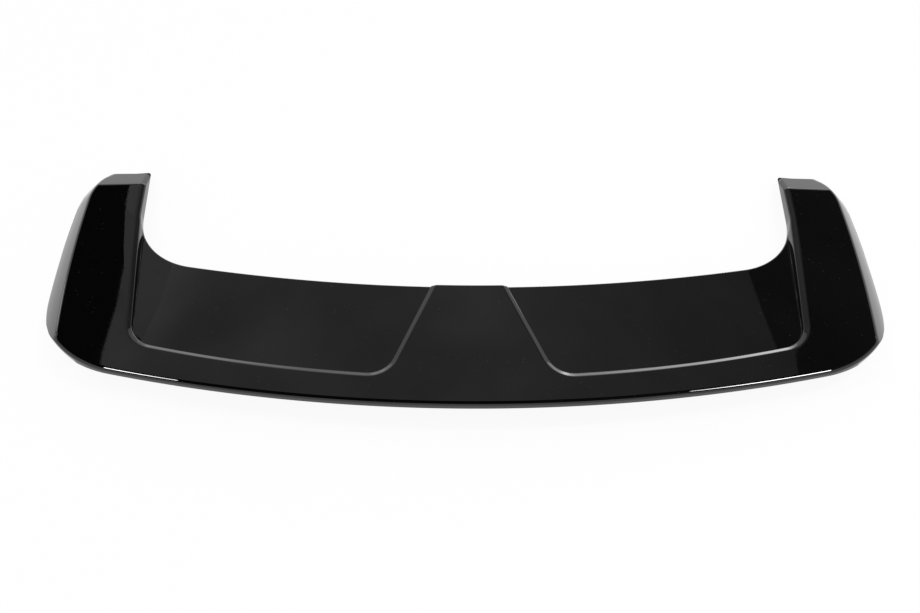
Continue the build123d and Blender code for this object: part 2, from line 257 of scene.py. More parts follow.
SMALL_CARD = [(x, y, SMALL_CARD_Z) for x, y in SMALL_CARD_LEFT + SMALL_CARD_RIGHT]
SMALL_CARD_GLOW = ((0.0, 0.5), (1.0, 0.48))
HORIZON = [(-3.5, 6.0, 0.1), (4.5, 6.0, 0.1), (4.5, 6.0, 1.6), (-3.5, 6.0, 1.6)]
HORIZON_GLOW = (
    (0.0, 1.6),
    (0.31, 2.2),
    (0.365, 1.35),
    (0.4, 1.45),
    (0.54, 2.75),
    (0.6, 4.2),
    (0.63, 6.3),
    (0.66, 6.3),
    (0.74, 2.6),
    (1.0, 2.6),
)
SIDE_BAR = [(-2.97, 1.84, 0.0), (-3.13, 1.6, 0.0), (-3.13, 1.6, 1.0), (-2.97, 1.84, 1.0)]
SIDE_BAR_GLOW = ((0.0, 3.5), (1.0, 3.5))
BOX_Z = 2.45
LEFT_BOX = [(x, y, BOX_Z) for x, y in ((-2.32, -1.3), (-1.65, -1.3), (-1.4, -0.5), (-1.95, -0.5))]
LEFT_BOX_GLOW = ((0.0, 45.0), (0.5, 45.0), (1.0, 18.0))
RIGHT_BOX = [(x, y, BOX_Z) for x, y in ((1.39, -1.3), (2.55, -1.3), (2.12, -0.5), (1.19, -0.5))]
RIGHT_BOX_GLOW = ((0.0, 12.0), (0.35, 55.0), (1.0, 55.0))
STRIP_Z = 2.4
LEFT_STRIP = ((-1.34, 0.0, STRIP_Z), (0.55, 0.16), 9.0)
RIGHT_STRIP = ((1.3, 0.0, STRIP_Z), (1.0, 0.16), 18.0)

# Photograph's camera
EYE = (-62.6, -989.2, 1521.7)
EYE_ELEVATION = math.radians(56.0)
EYE_YAW = math.radians(2.767)
EYE_ROLL = math.radians(2.563)
LENS = 50.0
SENSOR = 36.0


class Line:
    """A straight side of an outline, with the inside on its left."""

    def __init__(self, start, end):
        self.start = np.array(start, float)
        way = np.array(end, float) - self.start
        self.way = way / np.linalg.norm(way)

    def depth(self, p):
        rel = p - self.start
        return self.way[0] * rel[..., 1] - self.way[1] * rel[..., 0]

    def foot(self, p):
        return self.start + ((p - self.start) @ self.way)[..., None] * self.way

    def inward(self, p):
        return np.broadcast_to(np.array((-self.way[1], self.way[0])), p.shape)

    def between(self, start, end, share):
        return start + np.outer(share, end - start)

    def length(self, start, end):
        return np.linalg.norm(end - start)

    def share(self, start, end, p):
        span = end - start
        return ((p - start) @ span) / (span @ span)


class Round:
    """A circular side of an outline. The inside is within the circle, or outside it if hollow."""

    def __init__(self, centre, radius, hollow=False):
        self.centre = np.array(centre, float)
        self.radius = radius
        self.sign = -1.0 if hollow else 1.0

    def depth(self, p):
        return self.sign * (self.radius - np.linalg.norm(p - self.centre, axis=-1))

    def foot(self, p):
        rel = p - self.centre
        return self.centre + self.radius * rel / np.linalg.norm(rel, axis=-1)[..., None]

    def inward(self, p):
        rel = self.centre - p
        return self.sign * rel / np.linalg.norm(rel, axis=-1)[..., None]

    def angle(self, p):
        rel = p - self.centre
        return np.arctan2(rel[..., 1], rel[..., 0])

    def sweep(self, start, end):
        return wrapped(self.angle(end) - self.angle(start))

    def between(self, start, end, share):
        angle = self.angle(start) + self.sweep(start, end) * share
        return self.centre + self.radius * np.stack((np.cos(angle), np.sin(angle)), axis=-1)

    def length(self, start, end):
        return abs(self.sweep(start, end)) * self.radius

    def share(self, start, end, p):
        sweep = self.sweep(start, end)
        return 0.5 + wrapped(self.angle(p) - self.angle(start) - sweep / 2) / sweep


class Stretch:
    """A stretch of a side between two points."""

    def __init__(self, side, start, end):
        self.side = side
        self.start = start
        self.end = end

    def points(self):
        count = max(2, math.ceil(self.side.length(self.start, self.end) / SAMPLE))
        return self.side.between(self.start, self.end, np.linspace(0, 1, count + 1))

    def inward(self):
        return self.side.inward(self.points())

    def reach(self, depth):
        """The depth, or less where the stretch turns too tightly for a line that deep inside it."""
        if isinstance(self.side, Round) and self.side.sign > 0:
            return min(depth, TIGHTEST * self.side.radius)
        return depth

    def depth(self, p):
        inside = self.side.depth(p)
        share = self.side.share(self.start, self.end, p)
        ends = [np.linalg.norm(p - end, axis=-1) for end in (self.start, self.end)]
        return np.where((share >= 0) & (share <= 1), inside, np.copysign(np.minimum(*ends), inside))


def wrapped(angle):
    """An angle brought between minus and plus half a turn."""
    return (angle + math.pi) % (2 * math.pi) - math.pi


def meet(a, b, depth, near):
    """The point near the given one that lies this deep inside both sides."""
    p = np.array(near, float)
    steps = np.eye(2) * MEET_STEP
    for _ in range(MEET_ROUNDS):
        miss = [side.depth(p) - depth for side in (a, b)]
        change = [[side.depth(p + step) - side.depth(p - step) for step in steps] for side in (a, b)]
        p = p - np.linalg.solve(np.array(change) / (2 * MEET_STEP), np.array(miss))
    return p


def rounded(sides, corners, start, end):
    """The stretches of an outline whose sides meet in corners, each given by its radius and rough centre.
    A negative radius is a hollow corner."""
    stretches = []
    last = np.array(start, float)
    for a, b, (radius, near) in zip(sides, sides[1:], corners):
        centre = meet(a, b, radius, near)
        first, second = a.foot(centre), b.foot(centre)
        stretches.append(Stretch(a, last, first))
        stretches.append(Stretch(Round(centre, abs(radius), radius < 0), first, second))
        last = second
    stretches.append(Stretch(sides[-1], last, np.array(end, float)))
    return stretches


def depth_in(stretches, p):
    """Signed distance of the points inside a chain of stretches."""
    best = stretches[0].depth(p)
    for stretch in stretches[1:]:
        other = stretch.depth(p)
        best = np.where(np.abs(other) < np.abs(best), other, best)
    return best


def plan_outline():
    """The right half of the spoiler's plan, from the trailing edge round the ear to the front edge."""
    way = np.array((math.cos(TIP_CORNER_END), math.sin(TIP_CORNER_END)))
    corner_end = TIP_CENTRE + TIP_CORNER_RADIUS * way
    sides = (
        Round((0, TRAIL_Y + TRAIL_RADIUS), TRAIL_RADIUS),
        Round(SIDE_CENTRE, SIDE_RADIUS),
        Line(corner_end, corner_end + np.array((-way[1], way[0]))),
        Line((TIP_OUTER_X, TIP_Y), (EAR_INNER_X, TIP_INNER_Y)),
        Line((EAR_INNER_X, TIP_Y), (EAR_INNER_X, FRONT_Y)),
        Round((0, FRONT_Y + FRONT_RADIUS), FRONT_RADIUS, hollow=True),
    )
    corners = (
        (REAR_CORNER_RADIUS, (HALF_WIDTH - REAR_CORNER_RADIUS, 0)),
        (TIP_CORNER_RADIUS, TIP_CENTRE),
        (TIP_ROUND_RADIUS, (TIP_OUTER_X, TIP_Y - TIP_ROUND_RADIUS)),
        (TIP_INNER_RADIUS, (EAR_INNER_X + TIP_INNER_RADIUS, TIP_INNER_Y - TIP_INNER_RADIUS)),
        (-NOTCH_RADIUS, (EAR_INNER_X - NOTCH_RADIUS, FRONT_Y + 2 * NOTCH_RADIUS)),
    )
    return rounded(sides, corners, (0, TRAIL_Y), (0, FRONT_Y))


def recess_outline():
    """The right-hand recess, from the centre tongue round to the ear, run on past the front."""
    run = math.tan(TONGUE_SPLAY)
    side_run = math.tan(RECESS_SIDE_SPLAY)
    rear = 2 * RECESS_REAR_Y
    bend_x = TONGUE_HALF_WIDTH - run * (TONGUE_BEND_Y - FRONT_Y)
    end_y = (RECESS_END_X - RECESS_SIDE_X) / side_run
    sides = (
        Line((bend_x, RECESS_FRONT_Y), (bend_x, TONGUE_BEND_Y)),
        Line((bend_x, TONGUE_BEND_Y), (TONGUE_HALF_WIDTH + run * (FRONT_Y - rear), rear)),
        Round((0, RECESS_REAR_Y + RECESS_REAR_RADIUS), RECESS_REAR_RADIUS),
        Line((RECESS_SIDE_X + side_run * rear, rear), (RECESS_END_X, end_y)),
        Line((RECESS_END_X, end_y), (RECESS_END_X, RECESS_FRONT_Y)),
    )
    corners = (
        (TONGUE_BEND_RADIUS, (bend_x + TONGUE_BEND_RADIUS, TONGUE_BEND_Y)),
        (RECESS_INNER_RADIUS, (3 * TONGUE_HALF_WIDTH, RECESS_REAR_Y + RECESS_INNER_RADIUS)),
        (RECESS_OUTER_RADIUS, (RECESS_SIDE_X - RECESS_OUTER_RADIUS, 0)),
        (RECESS_BEND_RADIUS, (RECESS_END_X - RECESS_BEND_RADIUS, end_y)),
    )
    return rounded(sides, corners, (bend_x, RECESS_FRONT_Y), (RECESS_END_X, RECESS_FRONT_Y))


OUTLINE = plan_outline()
REAR_EDGE = OUTLINE[:3]
SIDE_EDGE = OUTLINE[1:6]
TIP_EDGE = OUTLINE[5:8]
FRONT_EDGE = OUTLINE[8:]
ROUNDED_EDGES = ((REAR_EDGE, NOSE_RADIUS), (TIP_EDGE, TIP_EDGE_RADIUS), (FRONT_EDGE, FRONT_EDGE_RADIUS))
RECESS = recess_outline()


def circle_through(a, b, c):
    """Centre and radius of the circle through three points."""
    a, b, c = (np.array(p, float) for p in (a, b, c))
    rows = 2 * np.array((b - a, c - a))
    centre = np.linalg.solve(rows, np.array((b @ b - a @ a, c @ c - a @ a)))
    return centre, np.linalg.norm(a - centre)


def soft_min(a, b, blend):
    """The lower of two heights, with a rounded change from one to the other."""
    near = np.clip(1 - np.abs(a - b) / blend, 0, 1)
    return np.minimum(a, b) - blend / 4 * near**2


def sag(x, radius):
    """How far an arc of this radius has fallen at x."""
    return radius - np.sqrt(radius**2 - x**2)


def edge_fall(depth, radius):
    """How far a rounded edge has fallen at this depth inside the wall."""
    near = np.clip(radius - depth, 0, radius)
    return radius - np.sqrt(radius**2 - near**2)


CREST_CENTRE, CREST_RADIUS = circle_through(*CREST)
CORNER_X = HALF_WIDTH - REAR_CORNER_RADIUS
CORNER_Y = TRAIL_Y + TRAIL_RADIUS - math.sqrt((TRAIL_RADIUS - REAR_CORNER_RADIUS) ** 2 - CORNER_X**2)
BEVEL_WAY = np.array((math.cos(BEVEL_TURN), -math.sin(BEVEL_TURN)))
BEVEL_AT = np.array((CORNER_X, CORNER_Y)) + REAR_CORNER_RADIUS * BEVEL_WAY
SLOPE_MIDDLE = np.array(SLOPE_FOOT) / 2 + np.array(SLOPE_HEAD) / 2
SLOPE_OUT = np.array((SLOPE_HEAD[1] - SLOPE_FOOT[1], SLOPE_FOOT[0] - SLOPE_HEAD[0]))
SLOPE_CREST = SLOPE_MIDDLE + SLOPE_BULGE * SLOPE_OUT / np.linalg.norm(SLOPE_OUT)
SLOPE_CENTRE, SLOPE_RADIUS = circle_through(SLOPE_FOOT, SLOPE_CREST, SLOPE_HEAD)


def top_height(x, y):
    """The crowned top with the front slope of the ears."""
    crest = CREST_CENTRE[1] + np.sqrt(CREST_RADIUS**2 - (y - CREST_CENTRE[0]) ** 2)
    tip = TIP_BREAK_Z - (y - TIP_BREAK_Y) * math.tan(TIP_SLOPE)
    profile = soft_min(crest, tip, TIP_BLEND)
    return CROWN_AXIS_Z + np.sqrt((profile - CROWN_AXIS_Z) ** 2 - x**2)


def panel_height(x, y):
    """The recessed panels, which arch more towards the front."""
    rear = PANEL_REAR_Z - sag(x, PANEL_REAR_RADIUS)
    front = PANEL_FRONT_Z - sag(x, PANEL_FRONT_RADIUS)
    return rear + (front - rear) * (y - PANEL_REAR_Y) / (PANEL_FRONT_Y - PANEL_REAR_Y)


def slope_height(x, y):
    """The sloping side of the ear, which turns round the tip corner and ends there."""
    p = np.stack((x, y), axis=-1)
    side = np.linalg.norm(p - SIDE_CENTRE, axis=-1) - SIDE_RADIUS
    tip = np.linalg.norm(p - TIP_CENTRE, axis=-1) - TIP_CORNER_RADIUS
    beside = (p - SIDE_CENTRE) @ np.array((-math.sin(TIP_CORNER_TURN), math.cos(TIP_CORNER_TURN))) < 0
    out = np.where(beside, side, np.where(x > TIP_CENTRE[0], tip, -TIP_CORNER_RADIUS))
    out = np.clip(out, -SLOPE_RADIUS / 2, None)
    return SLOPE_CENTRE[1] + np.sqrt(SLOPE_RADIUS**2 - (out - SLOPE_CENTRE[0]) ** 2)


def ground_height(x, y):
    """The vehicle's roof below, and the free underside towards the trailing edge and the rear corner."""
    roof = ROOF_TOP_Z - sag(x, ROOF_RADIUS)
    belly = NOSE_Z + x**2 / (2 * BELLY_RADIUS) - BELLY_SLOPE * (y - TRAIL_Y)
    out = (x - BEVEL_AT[0]) * BEVEL_WAY[0] + (y - BEVEL_AT[1]) * BEVEL_WAY[1]
    bevel = top_height(*BEVEL_AT) - CORNER_NOSE + BEVEL_RISE * out
    return np.maximum(np.maximum(roof, belly), bevel)


def outer_height(x, y):
    """The outer skin's upper surface."""
    p = np.stack((x, y), axis=-1)
    top = top_height(x, y)
    panel = panel_height(x, y)
    depth = depth_in(RECESS, p)
    bevel = top - STEP_FALL / STEP_RUN * (depth + STEP_RUN)
    wall = top - STEP_FALL - STEP_STEEPNESS * depth
    lip = soft_min(soft_min(top, bevel, STEP_HEAD_BLEND), wall, STEP_WALL_BLEND)
    stepped = -soft_min(-lip, -panel, STEP_FOOT_BLEND)
    nosed = stepped - edge_fall(np.abs(depth_in(REAR_EDGE, p)), NOSE_RADIUS)
    sloped = soft_min(nosed, slope_height(x, y), CREASE_BLEND)
    edged = sloped - edge_fall(np.abs(depth_in(FRONT_EDGE, p)), FRONT_EDGE_RADIUS)
    edged = edged - edge_fall(np.abs(depth_in(TIP_EDGE, p)), TIP_EDGE_RADIUS)
    return np.maximum(edged, ground_height(x, y) + THINNEST)


def edge_depths(radius):
    """Depths at which the mesh follows a rounded edge, and the wall's inner face behind it."""
    depths = [d for d in radius * (1 - np.sin(EDGE_TURNS)) if abs(d - WALL) > EDGE_APART]
    return sorted([*depths, *BEHIND_EDGE])


def offset_line(stretches, depth):
    """Points along a chain of stretches at this depth inside it."""
    return thinned(np.concatenate([s.points() + s.reach(depth) * s.inward() for s in stretches]))


def thinned(line):
    """A line without its doubled points."""
    apart = np.linalg.norm(np.diff(line, axis=0), axis=1) > DOUBLED
    return line[np.concatenate(([True], apart))]


def side_lines(depth):
    """Rows of points from the side's edge inwards, and the edge's points and inward directions."""
    edge = np.concatenate([s.points() for s in SIDE_EDGE])
    inward = np.concatenate([s.inward() for s in SIDE_EDGE])
    return edge[:, None] + depth[None, :, None] * inward[:, None], edge, inward


def border_line():
    """The plan's edge, drawn in where the side's slope runs out into the underside."""
    depth = np.linspace(0, SLOPE_REACH, SLOPE_STEPS)
    rows, edge, inward = side_lines(depth)
    room = slope_height(rows[..., 0], rows[..., 1]) - ground_height(rows[..., 0], rows[..., 1])
    first = np.argmax(room > 0, axis=1)
    before = np.maximum(first - 1, 0)
    at = np.arange(len(edge))
    rise = room[at, first] - room[at, before]
    part = np.where(first > 0, room[at, first] / np.where(first > 0, rise, 1.0), 0.0)
    trimmed = edge + ((first - part) * depth[1])[:, None] * inward
    ends = [np.concatenate([s.points() for s in chain]) for chain in (OUTLINE[:1], OUTLINE[6:])]
    return thinned(np.concatenate((ends[0], trimmed, ends[1])))


def runs_of(keep):
    """The runs of neighbouring places that are kept."""
    runs = np.split(np.arange(len(keep)), np.where(np.diff(keep.astype(int)))[0] + 1)
    return [run for run in runs if keep[run[0]]]


def crease_lines():
    """Lines along the crease above the sloping side and down the slope."""
    lines = []
    depth = np.linspace(0, SLOPE_REACH, SLOPE_STEPS)
    rows, edge, inward = side_lines(depth)
    above = slope_height(rows[..., 0], rows[..., 1]) > top_height(rows[..., 0], rows[..., 1])
    crease = depth[np.argmax(above, axis=1)]
    for at in [crease * share for share in ON_SLOPE] + [crease + beside for beside in BESIDE_CREASE]:
        runs = runs_of((crease > SHORTEST_SLOPE) & (at > SLOPE_CLEAR))
        lines += [edge[run] + at[run, None] * inward[run] for run in runs if len(run) > 1]
    return lines


def mesh_lines():
    """All lines that the outer skin's mesh follows, in plan."""
    lines = []
    for stretches, radius in ROUNDED_EDGES:
        lines += [offset_line(stretches, depth) for depth in edge_depths(radius) if depth > 0]
    lines += crease_lines()
    across = np.arange(EAR_INNER_X - SAMPLE, HALF_WIDTH, SAMPLE)
    for beside in BESIDE_TIP_BREAK:
        lines.append(np.stack((across, np.full_like(across, TIP_BREAK_Y + beside)), axis=-1))
    lines += [offset_line(RECESS, depth) for depth in ABOVE_STEP + BELOW_STEP]
    return lines


def lines_in_plan(border):
    """The border's points and edges, with those of the mesh lines inside it."""
    points = [border]
    edges = [(i, (i + 1) % len(border)) for i in range(len(border))]
    count = len(border)
    for line in mesh_lines():
        for run in runs_of(depth_in(OUTLINE, line) > LINE_CLEAR):
            piece = line[max(run[0] - 1, 0):run[-1] + 2]
            points.append(piece)
            edges += [(count + i, count + i + 1) for i in range(len(piece) - 1)]
            count += len(piece)
    return np.concatenate(points), edges


def grid_points(placed):
    """A staggered grid over the plan, clear of its edge and of the points already placed."""
    tree = KDTree(len(placed))
    for i, p in enumerate(placed):
        tree.insert((p[0], p[1], 0), i)
    tree.balance()
    gx, gy = np.meshgrid(np.arange(GRID, HALF_WIDTH, GRID), np.arange(TRAIL_Y, TIP_Y, GRID_ROW))
    gx = gx + np.where(np.arange(gx.shape[0]) % 2, GRID / 2, 0)[:, None]
    grid = np.stack((gx.ravel(), gy.ravel()), axis=-1)
    grid = grid[depth_in(OUTLINE, grid) > GRID]
    return np.array([p for p in grid if tree.find((p[0], p[1], 0))[2] > GRID_CLEAR])


def plan_mesh():
    """Triangles that fill the right half of the plan and follow the mesh lines."""
    centre = np.arange(FRONT_Y - GRID, TRAIL_Y + GRID / 2, -GRID)
    border = np.concatenate((border_line(), np.stack((np.zeros_like(centre), centre), axis=-1)))
    placed, edges = lines_in_plan(border)
    placed = np.concatenate((placed, grid_points(placed)))
    verts, _, faces, _, _, _ = delaunay_2d_cdt([Vector(p) for p in placed], edges, [], 0, MERGED, True)
    verts = np.array([(v[0], v[1]) for v in verts])
    verts[np.abs(verts[:, 0]) < SNAP, 0] = 0.0
    faces = np.array(faces)
    corner = verts[faces]
    spread = np.cross(corner[:, 1] - corner[:, 0], corner[:, 2] - corner[:, 0])
    faces = np.where((spread > 0)[:, None], faces, faces[:, ::-1])
    middle = corner.mean(axis=1)
    room = slope_height(middle[:, 0], middle[:, 1]) - ground_height(middle[:, 0], middle[:, 1])
    keep = (depth_in(OUTLINE, middle) > 0) & (room > 0) & (middle[:, 0] > 0) & (np.abs(spread) > SLIVER)
    return verts, faces[keep]


def hollow_height(x, y, z):
    """The wall's inner face behind the upper surface."""
    tilt_x = (outer_height(x + TILT_STEP, y) - outer_height(x - TILT_STEP, y)) / (2 * TILT_STEP)
    tilt_y = (outer_height(x, y + TILT_STEP) - outer_height(x, y - TILT_STEP)) / (2 * TILT_STEP)
    return z - WALL * np.sqrt(1 + np.clip(tilt_x**2 + tilt_y**2, 0, STEEPEST**2))


def upright_faces(x, faces, inner):
    """Walls round the skin's edge and its hollow, between layers of points: top, ground and hollow."""
    ground = len(x)
    hollow = 2 * ground
    sides = {}
    for face, hollowed in zip(faces, inner):
        for i, j in ((0, 1), (1, 2), (2, 0)):
            pair = (min(face[i], face[j]), max(face[i], face[j]))
            sides.setdefault(pair, []).append((face[i], face[j], hollowed))
    walls = []
    for uses in sides.values():
        a, b, hollowed = uses[0]
        low, high = (hollow, ground) if hollowed else (ground, hollow)
        if len(uses) == 1 and (x[a] or x[b]):
            walls.append((a, a + low, b + low, b))
        elif len(uses) == 2 and hollowed != uses[1][2]:
            walls.append((a + low, b + low, b + high, a + high))
    return walls


def shell_mesh(name):
    """The closed outer skin: upper surface, upright walls, bottom rim and the hollow behind it."""
    plan, faces = plan_mesh()
    x, y = plan[:, 0], plan[:, 1]
    z = outer_height(x, y)
    ground = ground_height(x, y)
    hollow = hollow_height(x, y, z)
    open_below = (depth_in(OUTLINE, plan) > WALL - SNAP) & (hollow > ground + THINNEST)
    inner = open_below[faces].all(axis=1)
    points = np.concatenate([np.stack((x, y, level), axis=-1) for level in (z, ground, hollow)])
    flipped = faces[:, ::-1]
    layers = np.concatenate((faces, flipped[inner] + 2 * len(plan), flipped[~inner] + len(plan)))
    return mirrored_mesh(name, points, [tuple(f) for f in layers] + upright_faces(x, faces, inner))


def mirrored_mesh(name, points, faces):
    """A mesh in metres from a right half and its mirror image, joined on the centre line."""
    used = sorted({i for face in faces for i in face})
    index = {old: new for new, old in enumerate(used)}
    points = points[used]
    faces = [tuple(index[i] for i in face) for face in faces]
    away = np.where(points[:, 0] > 0)[0]
    twin = np.arange(len(points))
    twin[away] = len(points) + np.arange(len(away))
    points = np.concatenate((points, points[away] * np.array((-1, 1, 1))))
    faces = faces + [tuple(int(twin[i]) for i in reversed(face)) for face in faces]
    mesh = bpy.data.meshes.new(name)
    mesh.from_pydata((points * MM).tolist(), [], faces)
    mesh.validate()
    mesh.shade_smooth()
    mesh.set_sharp_from_angle(angle=SKIN_SHARP)
    piece = bpy.data.objects.new(name, mesh)
    bpy.context.scene.collection.objects.link(piece)
    return piece


class Nodes:
    """A short way to lay out a node tree."""

    def __init__(self, tree):
        tree.nodes.clear()
        self.tree = tree

    def add(self, kind, inputs=None, **settings):
        node = self.tree.nodes.new(kind)
        for name, value in settings.items():
            setattr(node, name, value)
        for name, value in (inputs or {}).items():
            if isinstance(value, bpy.types.NodeSocket):
                self.tree.links.new(value, node.inputs[name])
            else:
                node.inputs[name].default_value = value
        return node

    def noise(self, scale, detail=2.0, stretch=(1, 1, 1)):
        place = self.add("ShaderNodeTexCoord").outputs["Object"]
        drawn = self.add("ShaderNodeMapping", {"Vector": place, "Scale": stretch}).outputs[0]
        inputs = {"Vector": drawn, "Scale": scale, "Detail": detail}
        return self.add("ShaderNodeTexNoise", inputs).outputs[0]

    def spread(self, value, low, high, from_low=0.3, from_high=0.7):
        limits = {"From Min": from_low, "From Max": from_high, "To Min": low, "To Max": high}
        return self.add("ShaderNodeMapRange", {"Value": value, **limits}).outputs[0]

    def tint(self, share, first, second):
        mix = self.add("ShaderNodeMix", {"Factor": share}, data_type="RGBA")
        mix.inputs[6].default_value = (*first, 1)
        mix.inputs[7].default_value = (*second, 1)
        return mix.outputs[2]

    def bump(self, height, distance):
        return self.add("ShaderNodeBump", {"Height": height, "Distance": distance}).outputs[0]

    def math(self, operation, first, second):
        node = self.add("ShaderNodeMath", {0: first, 1: second}, operation=operation)
        return node.outputs[0]


def new_material(name):
    """A material with an empty node tree."""
    material = bpy.data.materials.new(name)
    material.use_nodes = True
    return material, Nodes(material.node_tree)


def principled(nodes, inputs):
    """Ends a material in a Principled shader."""
    shader = nodes.add("ShaderNodeBsdfPrincipled", inputs)
    nodes.add("ShaderNodeOutputMaterial", {"Surface": shader.outputs[0]})


def gloss_black():
    """Painted gloss black with a faint orange peel, polishing haze and a little dust."""
    material, nodes = new_material("gloss_black")
    haze = nodes.noise(HAZE_SCALE, 5.0, HAZE_STRETCH)
    specks = nodes.spread(nodes.noise(DUST_SCALE, 0.0), 0.0, 1.0, DUST_FROM, DUST_TO)
    inputs = {
        "Base Color": nodes.tint(specks, GLOSS_BLACK, DUST_GREY),
        "Roughness": nodes.spread(haze, *PAINT_ROUGHNESS),
        "Normal": nodes.bump(nodes.noise(PEEL_SCALE), PEEL_HEIGHT),
        "IOR": PAINT_IOR,
    }
    principled(nodes, inputs)
    return material


def moulded_black():
    """Grained matte plastic of the inner skin, a little paler where it was handled."""
    material, nodes = new_material("moulded_black")
    wear = nodes.spread(nodes.noise(WEAR_SCALE, 6.0), 0.0, 1.0)
    inputs = {
        "Base Color": nodes.tint(wear, MOULDED_BLACK, MOULDED_WORN),
        "Roughness": nodes.spread(nodes.noise(SHEEN_SCALE, 4.0), *MOULDED_ROUGHNESS),
        "Normal": nodes.bump(nodes.noise(GRAIN_SCALE, 3.0), GRAIN_HEIGHT),
    }
    principled(nodes, inputs)
    return material


def foam(name, dark, pale, roughness):
    """Closed-cell foam with fine cells and cloudy colour."""
    material, nodes = new_material(name)
    cells = nodes.noise(FOAM_SCALE, 4.0)
    inputs = {
        "Base Color": nodes.tint(nodes.spread(cells, 0.0, 1.0), dark, pale),
        "Roughness": roughness,
        "Normal": nodes.bump(cells, FOAM_HEIGHT),
    }
    principled(nodes, inputs)
    return material


def zinc_steel():
    """Zinc-plated steel with cloudy plating and fine turning marks."""
    material, nodes = new_material("zinc_steel")
    cloud = nodes.spread(nodes.noise(PLATING_SCALE, 4.0), 0.0, 1.0)
    marks = nodes.noise(TURNING_SCALE, 2.0, TURNING_STRETCH)
    inputs = {
        "Base Color": nodes.tint(cloud, ZINC, ZINC_DULL),
        "Roughness": nodes.spread(nodes.noise(TARNISH_SCALE, 3.0), *ZINC_ROUGHNESS),
        "Normal": nodes.bump(marks, TURNING_HEIGHT),
        "Metallic": 1.0,
    }
    principled(nodes, inputs)
    return material


def stud_rings():
    """Height and radius of each ring down a stud, before its thread is cut."""
    rings = [
        (STUD_TOP, 0.0),
        (STUD_TOP, HEAD_RADIUS - HEAD_EDGE),
        (STUD_TOP - HEAD_EDGE, HEAD_RADIUS),
        (STUD_TOP - HEAD_THICKNESS + HEAD_EDGE, HEAD_RADIUS),
        (STUD_TOP - HEAD_THICKNESS, HEAD_RADIUS - HEAD_EDGE),
        (STUD_TOP - HEAD_THICKNESS, NECK_RADIUS),
        (NECK_FOOT, NECK_RADIUS),
    ]
    count = round((NECK_FOOT - STUD_FOOT) / THREAD_PITCH * THREAD_STEPS)
    rings += [(z, THREAD_RADIUS) for z in np.linspace(NECK_FOOT, STUD_FOOT, count + 1)]
    rings += [(STUD_FOOT, 0.0)]
    return rings


def thread_radius(z, turn):
    """Radius of the threaded shank at this height and share of a turn, with its run-out and chamfer."""
    phase = (z / THREAD_PITCH - turn) % 1.0
    groove = THREAD_DEPTH * np.clip(THREAD_ROOT - abs(2 * phase - 1) * THREAD_FLANK, 0, 1)
    fade = np.clip((NECK_FOOT - z) / THREAD_RUNOUT, 0, 1)
    end = THREAD_RADIUS - STUD_CHAMFER + np.clip(z - STUD_FOOT, 0, STUD_CHAMFER)
    return np.minimum(THREAD_RADIUS - groove * fade, end)


def studs():
    """Four flanged studs with a cut thread."""
    verts = []
    faces = []
    turns = np.arange(STUD_SIDES) / STUD_SIDES
    rings = stud_rings()
    for x, y in STUD_PLACES:
        base = len(verts)
        for z, radius in rings:
            for turn in turns:
                r = thread_radius(z, turn) if radius == THREAD_RADIUS else radius
                angle = 2 * math.pi * turn
                verts.append((x + r * math.cos(angle), y + r * math.sin(angle), z))
        for i in range(len(rings) - 1):
            for j in range(STUD_SIDES):
                k = (j + 1) % STUD_SIDES
                a, b = base + i * STUD_SIDES, base + (i + 1) * STUD_SIDES
                faces.append((a + j, b + j, b + k, a + k))
    return new_piece("threaded_studs", verts, faces, STUD_SHARP)


def new_piece(name, verts, faces, sharp):
    """A smooth mesh in metres from millimetre points. Edges sharper than the angle stay crisp."""
    mesh = bpy.data.meshes.new(name)
    mesh.from_pydata([tuple(c * MM for c in v) for v in verts], [], faces)
    merged = bmesh.new()
    merged.from_mesh(mesh)
    bmesh.ops.remove_doubles(merged, verts=merged.verts, dist=WELDED)
    merged.to_mesh(mesh)
    merged.free()
    mesh.shade_smooth()
    mesh.set_sharp_from_angle(angle=sharp)
    piece = bpy.data.objects.new(name, mesh)
    bpy.context.scene.collection.objects.link(piece)
    return piece


def dress(piece, material, node):
    """Gives a new piece its material and lets it stand for a CAD node."""
    piece.data.materials.append(material)
    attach(piece, "root")
    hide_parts(node)


def repaint(node, material):
    """Gives a CAD node's object a procedural material."""
    node.data.materials.clear()
    node.data.materials.append(material)


def seen_light(nodes):
    """1 for rays whose background has to be white: camera, glossy and transmission rays."""
    path = nodes.add("ShaderNodeLightPath").outputs
    seen = nodes.math("MAXIMUM", path["Is Camera Ray"], path["Is Glossy Ray"])
    return nodes.math("MAXIMUM", seen, path["Is Transmission Ray"])


def make_floor(level):
    """A plain pale floor under the spoiler, which keeps its shadow. It is clear from below."""
    half = FLOOR_SIZE / 2
    mesh = bpy.data.meshes.new("floor")
    corners = [(-half, -half, level), (half, -half, level), (half, half, level), (-half, half, level)]
    mesh.from_pydata(corners, [], [(0, 1, 2, 3)])
    floor = bpy.data.objects.new("floor", mesh)
    bpy.context.scene.collection.objects.link(floor)
    material, nodes = new_material("floor")
    lit = nodes.add("ShaderNodeBsdfDiffuse", {"Color": (*FLOOR_WHITE, 1)}).outputs[0]
    glow = nodes.add("ShaderNodeEmission", {"Strength": 1.0}).outputs[0]
    share = nodes.math("MULTIPLY", seen_light(nodes), FLOOR_GLOW)
    white = nodes.add("ShaderNodeMixShader", {0: share, 1: lit, 2: glow}).outputs[0]
    clear = nodes.add("ShaderNodeBsdfTransparent").outputs[0]
    below = nodes.add("ShaderNodeNewGeometry").outputs["Backfacing"]
    mixed = nodes.add("ShaderNodeMixShader", {0: below, 1: white, 2: clear})
    nodes.add("ShaderNodeOutputMaterial", {"Surface": mixed.outputs[0]})
    mesh.materials.append(material)


